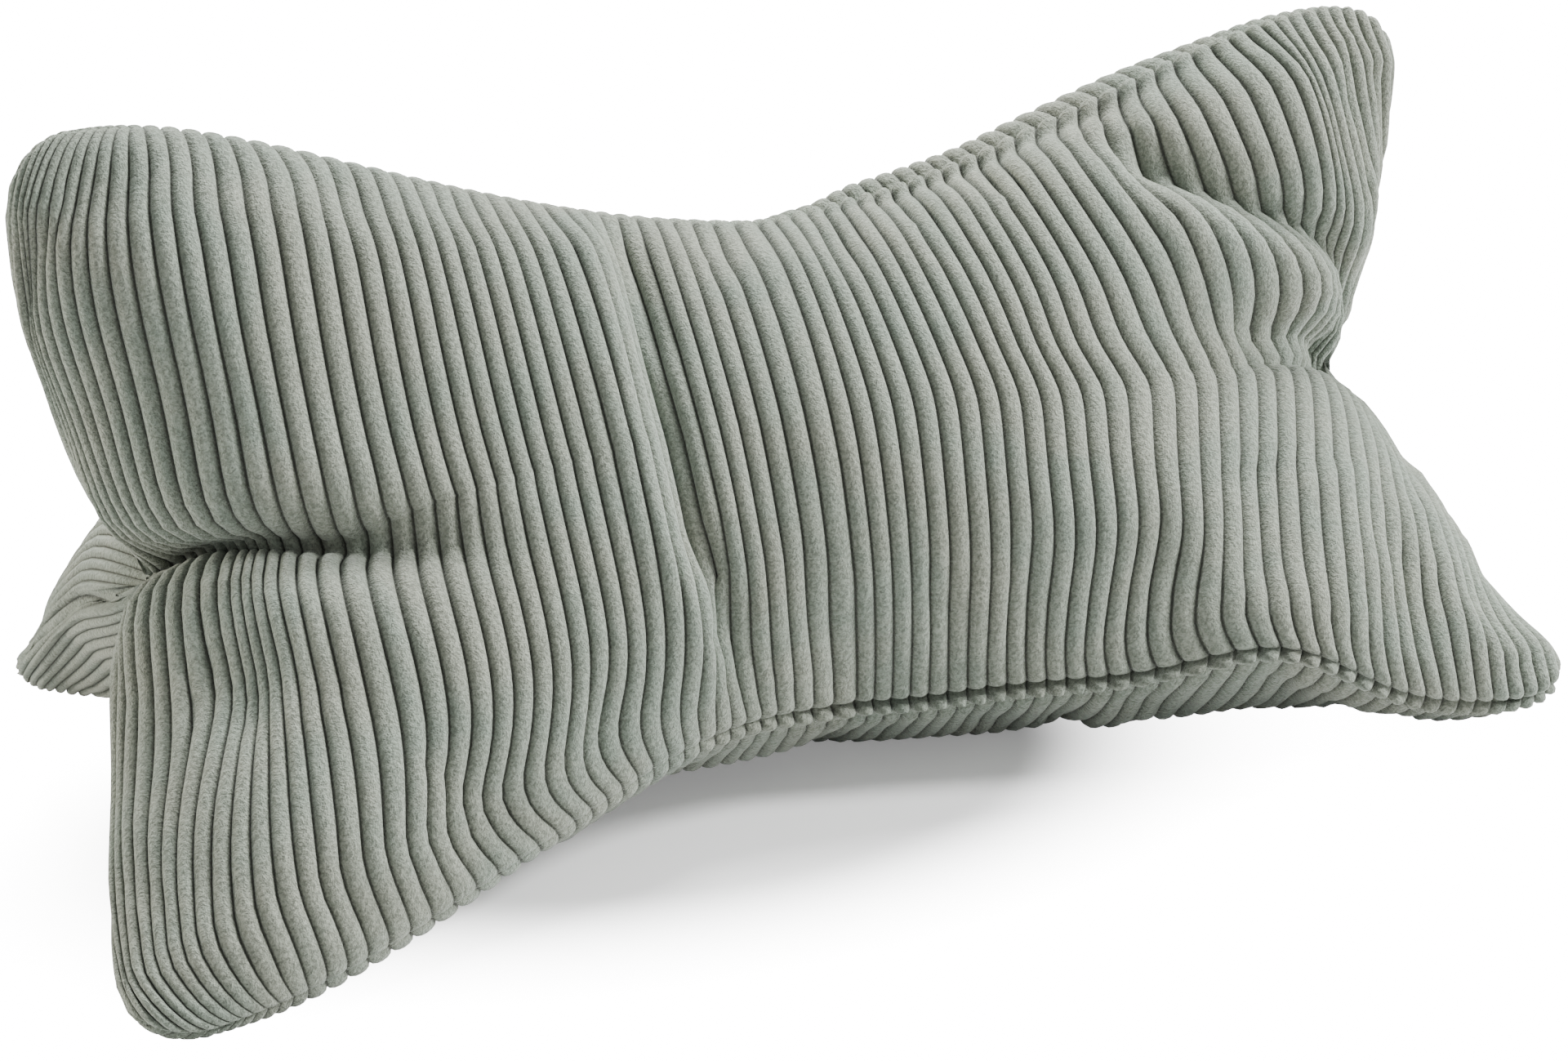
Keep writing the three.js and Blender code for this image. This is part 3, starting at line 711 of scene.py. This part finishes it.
def blown_up(mesh, rest, held):
    """Where the cover's points, given in millimetres, end up after the simulation."""
    mesh.vertices.foreach_set("co", (rest * TO_METRES).ravel())
    mesh.update()
    cover = bpy.data.objects.new("cover", mesh)
    bpy.context.scene.collection.objects.link(cover)
    seams = cover.vertex_groups.new(name="seams")
    seams.add([int(n) for n in held], 1.0, "REPLACE")
    add_cloth(cover)
    for number in range(1, FILL_FRAMES + 1):
        bpy.context.scene.frame_set(number)
    shaped = cover.evaluated_get(bpy.context.evaluated_depsgraph_get()).to_mesh()
    places = np.empty(len(rest) * 3)
    shaped.vertices.foreach_get("co", places)
    bpy.data.objects.remove(cover)
    bpy.data.meshes.remove(mesh)
    bpy.context.scene.frame_set(1)
    return places.reshape(-1, 3) * TO_MM


def swell_of(net):
    """How far the filling moves each corner of a coarse net, one array for each half panel."""
    cover, corners = sew("cover", net)
    facts = facts_of(net, corners)
    rest = folded(cover, settled(facts["start"]), facts)
    moved = blown_up(cover, rest, np.nonzero(facts["inset"] < ON_SEAM)[0]) - rest
    length = np.maximum(np.linalg.norm(moved, axis=1), FILL_LEAST)
    capped = FILL_CAP * np.tanh(length / FILL_CAP) / length
    moved *= (capped * smooth(facts["inset"], 0, FILL_FROM_SEAM))[:, None]
    print("cloth moved the points by", length.mean().round(2), "mm, at most", length.max().round(2))
    finder = KDTree(len(moved))
    for number, start in enumerate(facts["start"]):
        finder.insert(Vector(start), number)
    finder.balance()
    swell = []
    for piece in net:
        found = [finder.find(Vector(start))[1] for start in piece["start"].reshape(-1, 3)]
        swell.append(moved[found].reshape(piece["start"].shape))
    return swell


# %% [markdown]
# ## Carry the swell over to the fine net
# Both nets run along the same wales, so the swell is read off between the coarse corners,
# first along a wale and then across it. A Surface Deform modifier could bind the two meshes
# instead, but in the narrow notches it may bind to the wrong side.

# %% Fill the fine net
def spread_over(swell, coarse, net):
    """The coarse net's movement at every corner of the fine net."""
    spread = []
    for moved, rough, piece in zip(swell, coarse, net):
        by_row = np.stack([
            [np.interp(fine_rows, COARSE_ROWS, column[:, axis]) for column in moved] for axis in range(3)
        ], -1)
        fine = np.empty(piece["start"].shape)
        for row in range(len(fine_rows)):
            for axis in range(3):
                fine[:, row, axis] = np.interp(piece["wales"], rough["wales"], by_row[:, row, axis])
        spread.append(fine.reshape(-1, 3))
    return np.concatenate(spread)


coarse = half_panels(coarse_wales, COARSE_ROWS)
points += spread_over(swell_of(coarse), coarse, net)[corners]
print("filled from", points.min(0).round(1), "to", points.max(0).round(1), "mm")

# %% [markdown]
# ## Wales and their rounded ends
# A wale is a round velvet rib with a narrow, deep gap on each side. Where it runs into a
# seam it is pinched shut. On the right half of the pillow the pile puffs up just before,
# most of all on the base along the lower front seam, which then looks like a row of beads.
# On the left half and on the back the seams lie slack, and the wales flatten beside them.
# Bump in the material would look alike from the front, but the wales have to show at the
# outline and in the mesh, so they are raised along the cloth's normals.

# %% Raise the wales
WALE_HEIGHT = 2.5
WALE_HEIGHT_SHARE = 0.42           # highest wale as a share of its width
RIB_BROAD, RIB_ROUND = 2.1, 0.58   # shape of a wale's section
BEAD_LENGTH = 3.2                  # over which a wale rises from its seam
BEAD_AT, BEAD_WIDE = 3.2, 1.9      # distance of a bead from its seam, and its reach
DENT_AT, DENT_WIDE, DENT_DEEP = 7.2, 1.8, 0.5      # the dent behind it
NEAR_SEAM = (0.6, 0.95)            # cosines round the axis between which a seam is felt
SLACK_WIDE = 12                    # distance from a slack seam over which wales flatten
RIGHT_HALF = (-70, 30)             # along the pillow, where its tighter right half starts
BEADS_END = (125, 185)             # along the pillow, where the beads get small
BEADS_LOST = 0.8                   # share of their size that they lose there
PUFF_ALL, PUFF_RIGHT, PUFF_BASE = 0.05, 0.3, 0.8   # everywhere, right half, and right on the base
SLACK_BACK, SLACK_LEFT = 0.6, 0.5  # share of its height that a wale loses at a slack seam
RIB_LEVEL = 0.5                    # share of a wale's height that lies below the cloth


def hump(distance, at, wide):
    return np.exp(-((distance - at) / wide) ** 2)


def near_seam(start, seam):
    """1 along a long seam, and 0 from about fifty degrees round the pillow."""
    radius = np.maximum(np.linalg.norm(start[:, 1:], axis=1), AXIS_LEAST)
    return smooth(start @ seam_direction(seam) / radius, *NEAR_SEAM)


def rib_profile(wale):
    across = np.abs(2 * (np.abs(wale) % 1.0) - 1)
    return (1 - across ** RIB_BROAD) ** RIB_ROUND


def rib_end(inset, bead):
    closing = np.clip(inset / BEAD_LENGTH, 0, 1)
    puff = bead * (hump(inset, BEAD_AT, BEAD_WIDE) - DENT_DEEP * hump(inset, DENT_AT, DENT_WIDE))
    return np.sqrt(1 - (1 - closing) ** 2) * (1 + puff)


start, inset, panel = facts["start"], facts["inset"], facts["panel"]
near_front, near_top = near_seam(start, "front"), near_seam(start, "top")
right_half = smooth(start[:, 0], *RIGHT_HALF)
beaded = right_half * (1 - BEADS_LOST * smooth(start[:, 0], *BEADS_END))
bead = PUFF_ALL + beaded * (PUFF_RIGHT + near_front * np.where(panel == "base", PUFF_BASE, 0.0))
slack = np.where(panel == "back", SLACK_BACK, SLACK_LEFT * (1 - right_half)) * near_top
slack += SLACK_LEFT * (1 - right_half) * near_front
height = np.minimum(WALE_HEIGHT, WALE_HEIGHT_SHARE * facts["pitch"])
height = height * (1 - slack * hump(inset, 0, SLACK_WIDE))
rib = height * (rib_profile(facts["wale"]) * rib_end(inset, bead) - RIB_LEVEL)
print("wales up to", height.max().round(2), "mm high, narrowest", facts["pitch"].min().round(2), "mm")

# %% [markdown]
# ## Seams and the row of beads
# The thread draws the cloth in along every seam, most on the right half of the top one. On
# the right half of the lower front seam, the last millimetres of the base's wales stand
# forward and up, with a neck sunk behind them, and those are the beads. A row of small
# spheres could be laid there, but beads that are the wales' own ends stay in step with them.

# %% Sink the seams
SEAM_SINK, SEAM_WIDE = 2.6, 2.2    # depth of a tightly drawn seam, and its reach
SINK_ALL, SINK_RIGHT, SINK_TOP = 0.3, 0.3, 0.5     # shares: everywhere, right half, right on top
NECK_SINK, NECK_AT, NECK_WIDE = 2.8, 6.6, 1.9      # depth, distance from the seam, and reach
TURN_UP, TURN_AT, TURN_WIDE = 5.0, 3.0, 2.0        # rise, distance from the seam, and reach
TURN_TOWARDS = np.array([0.0, -0.75, 0.65])        # forward and up

sink = SEAM_SINK * (SINK_ALL + right_half * (SINK_RIGHT + SINK_TOP * near_top)) * hump(inset, 0, SEAM_WIDE)
beads_of = beaded * near_front * (panel == "base")
neck = NECK_SINK * beads_of * hump(inset, NECK_AT, NECK_WIDE)
turned_up = TURN_UP * beads_of * rib_profile(facts["wale"]) * hump(inset, TURN_AT, TURN_WIDE)
points += point_normals(mesh, points) * (rib - sink - neck)[:, None]
points += turned_up[:, None] * TURN_TOWARDS
print("seams sink by up to", sink.max().round(2), "mm, beads stand up by", turned_up.max().round(2), "mm")

# %% [markdown]
# ## Feet
# The pillow stands on its belly and on three of its ears. Each of these ears is moved up or
# down until its lowest point reaches the same level, and the floor is set a little above
# that. What would be below the floor is flat, as soft cloth is where it rests. The Cloth
# simulation could collide with a floor, but where the feet end up would then be luck.

# %% Stand it on the floor
FLOOR_AT = -70.3                   # level of each foot's lowest point
FOOT_PRESS = 3.0                   # how far above that the floor is
FOOT_SHARE = 0.6                   # share of an ear's shift above which a point is its foot
PLAN_CENTRE = [-0.1, -17.1]
LEVEL_ROUNDS = 3                   # moving one ear moves its neighbour, so it is repeated
side = np.where(start[:, 0] < 0, -1, 1)
feet = [ear for ear in EARS if ear["rests"]]
for _ in range(LEVEL_ROUNDS):
    for ear in feet:
        share = np.clip(ear_share(start, ear), 0, 1) * (side == ear["side"])
        drop = points[share > FOOT_SHARE, 2].min() - FLOOR_AT
        points[:, 2] -= drop * share
        print(ear["seam"], "ear on side", ear["side"], "moved up by", -drop.round(2), "mm")
points[:, 2] = np.maximum(points[:, 2] - FLOOR_AT - FOOT_PRESS, 0)
points[:, :2] -= PLAN_CENTRE
print("stands from", points.min(0).round(1), "to", points.max(0).round(1), "mm")

# %% [markdown]
# ## The finished piece
# The mesh is written in metres and shaded smooth. Its object sits at the origin, because
# the export leaves an object's place out. It rides on the pillow's one body and takes the
# place of the CAD solid, which stays behind for collisions.

# %% Write the mesh in metres
mesh.vertices.foreach_set("co", (points * TO_METRES).ravel())
mesh.polygons.foreach_set("use_smooth", [True] * len(mesh.polygons))
mesh.update()
pillow = bpy.data.objects.new("pillow_corduroy", mesh)
bpy.context.scene.collection.objects.link(pillow)
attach(pillow, "root")
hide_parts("pillow")
print(pillow.name, "measures", [round(length, 3) for length in pillow.dimensions], "m")

# %% [markdown]
# ## Corduroy: helpers for its nodes
# A material is a graph of small steps, and each helper here adds one of them and returns
# its output. In the editor each is a node and a few wires. Written as functions, the
# recipe further down reads almost like a sentence.

# %% Node helpers
corduroy = bpy.data.materials.new("sage_corduroy")
corduroy.use_nodes = True
nodes, links = corduroy.node_tree.nodes, corduroy.node_tree.links
nodes.clear()
place = nodes.new("ShaderNodeTexCoord")


def feed(socket, value):
    """Sets a socket to a number or a colour, or links another node's output to it."""
    if isinstance(value, (int, float, tuple)):
        socket.default_value = value
    else:
        links.new(value, socket)


def maths(operation, first, second):
    node = nodes.new("ShaderNodeMath")
    node.operation = operation
    feed(node.inputs[0], first)
    feed(node.inputs[1], second)
    return node.outputs[0]


def span(value, low, high, to_low=0.0, to_high=1.0):
    """Spreads the values between low and high softly over the range from to_low to to_high."""
    node = nodes.new("ShaderNodeMapRange")
    node.interpolation_type = "SMOOTHSTEP"
    links.new(value, node.inputs["Value"])
    for key, number in zip(("From Min", "From Max", "To Min", "To Max"), (low, high, to_low, to_high)):
        node.inputs[key].default_value = number
    return node.outputs["Result"]


def blended(mask, first, second):
    """The first colour where the mask is 0 and the second where it is 1."""
    node = nodes.new("ShaderNodeMix")
    node.data_type = "RGBA"
    # Inputs 6 and 7 and output 2 take colours, and those before them numbers and vectors.
    feed(node.inputs[0], mask)
    feed(node.inputs[6], first)
    feed(node.inputs[7], second)
    return node.outputs[2]


def noise(scale, detail, roughness=0.5, distortion=0.0):
    """Cloudy noise fixed to the piece, with roughly `scale` spots to a metre."""
    node = nodes.new("ShaderNodeTexNoise")
    node.inputs["Scale"].default_value = scale
    node.inputs["Detail"].default_value = detail
    node.inputs["Roughness"].default_value = roughness
    node.inputs["Distortion"].default_value = distortion
    links.new(place.outputs["Object"], node.inputs["Vector"])
    return node.outputs["Fac"]


print("helpers for", corduroy.name)

# %% [markdown]
# ## Corduroy: where the wales and the pile are
# Two masks mark where shade is painted: darker on each wale towards its gaps,
# and near black in the gaps between the wales. The UV map's first number is the wale
# number, so the distance from a gap is how far it is from a whole number. Noise in object
# space gives clouds where the pile lies one way or the other, and a fine grain of tufts.
# Hair particles would be truer, at many times the cost.

# %% Masks
cloth_map = nodes.new("ShaderNodeUVMap")
cloth_map.uv_map = "cloth"
parts = nodes.new("ShaderNodeSeparateXYZ")
links.new(cloth_map.outputs["UV"], parts.inputs["Vector"])
ripple = maths("MULTIPLY", maths("SUBTRACT", noise(1400.0, 1.0), 0.5), 0.09)
from_gap = maths("PINGPONG", maths("ADD", parts.outputs["X"], ripple), 0.5)
# Painted shade: near black in the gaps between the wales
gap_shade = span(from_gap, 0.02, 0.11, 1.0, 0.0)
# Painted shade: each wale darker towards its gaps
flank_shade = span(from_gap, 0.05, 0.30, 1.0, 0.0)
clouds = span(noise(26.0, 3.0, 0.55, 0.4), 0.36, 0.64)
patches = span(noise(75.0, 3.0, 0.6, 0.6), 0.35, 0.68)
grain = noise(1000.0, 2.0, 0.65, 0.3)
fuzz = noise(2400.0, 1.0)
speckle = span(maths("ADD", maths("MULTIPLY", grain, 0.7), maths("MULTIPLY", fuzz, 0.3)), 0.36, 0.66)
print("masks made with", len(nodes), "nodes")

# %% [markdown]
# ## Corduroy: colour and sheen
# Velvet pile looks darker where one looks down into it and lighter on its flanks, so the
# shader leans on sheen rather than gloss. Two sage greens are clouded together, and then
# paler and deeper ones are laid over them, each with its own mask and strength. The deep
# green on each wale towards its gaps and the near black in the gaps are painted shade. One
# flat green with sheen would look like felt.

# %% Colour
WARM = (0.232, 0.247, 0.201, 1.0)
COOL = (0.179, 0.230, 0.191, 1.0)
PALE = (0.338, 0.366, 0.302, 1.0)
DEEP = (0.106, 0.117, 0.093, 1.0)
# Near black painted shade for the gaps between the wales
GAP_SHADE = (0.040, 0.042, 0.034, 1.0)
tone = blended(clouds, WARM, COOL)
for mask, strength, colour in (
    (patches, 0.35, PALE),
    (maths("SUBTRACT", 1.0, speckle), 0.7, DEEP),
    (speckle, 0.35, PALE),
    # Painted shade: deep green on each wale towards its gaps
    (flank_shade, 0.28, DEEP),
    # Painted shade: near black in the gaps between the wales
    (gap_shade, 0.8, GAP_SHADE),
):
    tone = blended(maths("MULTIPLY", mask, strength), tone, colour)

bump = nodes.new("ShaderNodeBump")
bump.inputs["Strength"].default_value = 1.0
bump.inputs["Distance"].default_value = 0.0009
links.new(maths("ADD", maths("MULTIPLY", grain, 0.8), maths("MULTIPLY", fuzz, 0.35)), bump.inputs["Height"])
shader = nodes.new("ShaderNodeBsdfPrincipled")
links.new(tone, shader.inputs["Base Color"])
links.new(bump.outputs["Normal"], shader.inputs["Normal"])
shader.inputs["Roughness"].default_value = 0.95
shader.inputs["Specular IOR Level"].default_value = 0.12
shader.inputs["Sheen Weight"].default_value = 0.45
shader.inputs["Sheen Roughness"].default_value = 0.45
shader.inputs["Sheen Tint"].default_value = (0.86, 0.90, 0.84, 1.0)
output = nodes.new("ShaderNodeOutputMaterial")
links.new(shader.outputs["BSDF"], output.inputs["Surface"])
mesh.materials.append(corduroy)
print("corduroy has", len(nodes), "nodes")

# %% [markdown]
# ## Floor
# The pillow stands on a white floor that runs off into a white surround, with a soft shadow
# under it. A white floor under studio lamps renders grey, and brighter lamps would wash out
# the cloth. So the floor glows for camera rays alone, which lights nothing else: weakly in
# an oval round the pillow, where the shadow shows, and strongly outside it.

# %% Floor
FLOOR_HALF = 6.0                   # metres
OVAL = (0.235, 0.155)              # metres, its half width and half depth
OVAL_SHIFT = (0.2, 0.14)           # half widths to the left, half depths to the front
GLOW = {"From Min": 0.45, "From Max": 0.9, "To Min": 0.25, "To Max": 16.0}

floor_mesh = bpy.data.meshes.new("floor")
bm = bmesh.new()
bmesh.ops.create_grid(bm, x_segments=1, y_segments=1, size=FLOOR_HALF)
bm.to_mesh(floor_mesh)
bm.free()
floor_object = bpy.data.objects.new("floor", floor_mesh)
bpy.context.scene.collection.objects.link(floor_object)
white = bpy.data.materials.new("white_floor")
white.use_nodes = True
floor_mesh.materials.append(white)

floor_nodes, floor_links = white.node_tree.nodes, white.node_tree.links
plain = floor_nodes["Principled BSDF"]
plain.inputs["Base Color"].default_value = (0.82, 0.82, 0.82, 1.0)
plain.inputs["Roughness"].default_value = 0.9
plain.inputs["Specular IOR Level"].default_value = 0.0
plain.inputs["Emission Color"].default_value = (1.0, 1.0, 1.0, 1.0)
spot = floor_nodes.new("ShaderNodeTexCoord")
oval = floor_nodes.new("ShaderNodeMapping")
oval.inputs["Scale"].default_value = (1 / OVAL[0], 1 / OVAL[1], 1.0)
oval.inputs["Location"].default_value = (*OVAL_SHIFT, 0.0)
floor_links.new(spot.outputs["Object"], oval.inputs["Vector"])
apart = floor_nodes.new("ShaderNodeVectorMath")
apart.operation = "LENGTH"
floor_links.new(oval.outputs["Vector"], apart.inputs[0])
rise = floor_nodes.new("ShaderNodeMapRange")
rise.interpolation_type = "SMOOTHSTEP"
for key, number in GLOW.items():
    rise.inputs[key].default_value = number
floor_links.new(apart.outputs["Value"], rise.inputs["Value"])
seen = floor_nodes.new("ShaderNodeLightPath")
glow = floor_nodes.new("ShaderNodeMath")
glow.operation = "MULTIPLY"
floor_links.new(rise.outputs["Result"], glow.inputs[0])
floor_links.new(seen.outputs["Is Camera Ray"], glow.inputs[1])
floor_links.new(glow.outputs["Value"], plain.inputs["Emission Strength"])
print("floor", 2 * FLOOR_HALF, "m wide")

# %% [markdown]
# ## Surround
# The white surround fills the shade from all sides, as the walls of a light tent do. Its
# strength is one number for what lights the pillow and a higher one for what the camera
# sees, so that the ground stays pure white without flattening the wales.

# %% Surround
FILL_LIGHT = 0.46
SEEN_LIGHT = 4.0

world = bpy.data.worlds.new("studio")
world.use_nodes = True
studio = world.node_tree
backdrop = studio.nodes["Background"]
backdrop.inputs["Color"].default_value = (1.0, 1.0, 1.0, 1.0)
surround = studio.nodes.new("ShaderNodeLightPath")
strength = studio.nodes.new("ShaderNodeMapRange")
strength.inputs["To Min"].default_value = FILL_LIGHT
strength.inputs["To Max"].default_value = SEEN_LIGHT
studio.links.new(surround.outputs["Is Camera Ray"], strength.inputs["Value"])
studio.links.new(strength.outputs["Result"], backdrop.inputs["Strength"])
bpy.context.scene.world = world
print("surround", FILL_LIGHT, "on the pillow and", SEEN_LIGHT, "for the camera")

# %% [markdown]
# ## Lamps
# Each wale is brightest on its right flank, and the left lobe falls off into shade, so the
# key lamp stands to the right and a little in front. One lamp above and behind lights the
# top seam, and a weaker, slightly warm one far left and behind draws the edge of the left
# ears. Small discs keep the gaps between the wales dark, where large ones would fill them.

# %% Lamps
LAMP_SIZE = 0.6                    # metres
LAMPS = [
    # name, place, aim, power in watts, colour
    ("key", (1.5, -0.5, 1.1), (0.0, 0.0, 0.08), 64.0, (1.0, 1.0, 1.0)),
    ("top", (0.45, 0.6, 1.5), (0.0, 0.0, 0.08), 58.0, (1.0, 1.0, 1.0)),
    ("rim", (-1.4, 0.55, 0.45), (-0.15, 0.1, 0.05), 26.0, (1.0, 0.94, 0.84)),
]
for name, at, aim, power, colour in LAMPS:
    light = bpy.data.lights.new(name, "AREA")
    light.shape = "DISK"
    light.size = LAMP_SIZE
    light.energy = power
    light.color = colour
    lamp = bpy.data.objects.new(name, light)
    lamp.location = at
    lamp.rotation_euler = (Vector(aim) - Vector(at)).to_track_quat("-Z", "Y").to_euler()
    bpy.context.scene.collection.objects.link(lamp)
    print(name, "lamp", round((Vector(aim) - Vector(at)).length, 2), "m from what it lights")

# %% [markdown]
# ## Camera
# The camera stands in front and a little left of the pillow, looks down by about twenty
# degrees and is tilted by two. Its place was found by matching the pillow's outline to the
# photograph. Moving a camera by eye comes close, but the last degree takes far longer.

# %% Camera
camera = bpy.data.cameras.new("camera")
camera.sensor_width = 36.0
camera.lens = 62.94
view = bpy.data.objects.new("camera", camera)
view.location = (-0.23994, -0.72576, 0.33266)
view.rotation_euler = (1.23015, 0.0357, -0.32975)
bpy.context.scene.collection.objects.link(view)
bpy.context.scene.camera = view
print("camera", round(view.location.length, 2), "m from the middle of the pillow's foot")
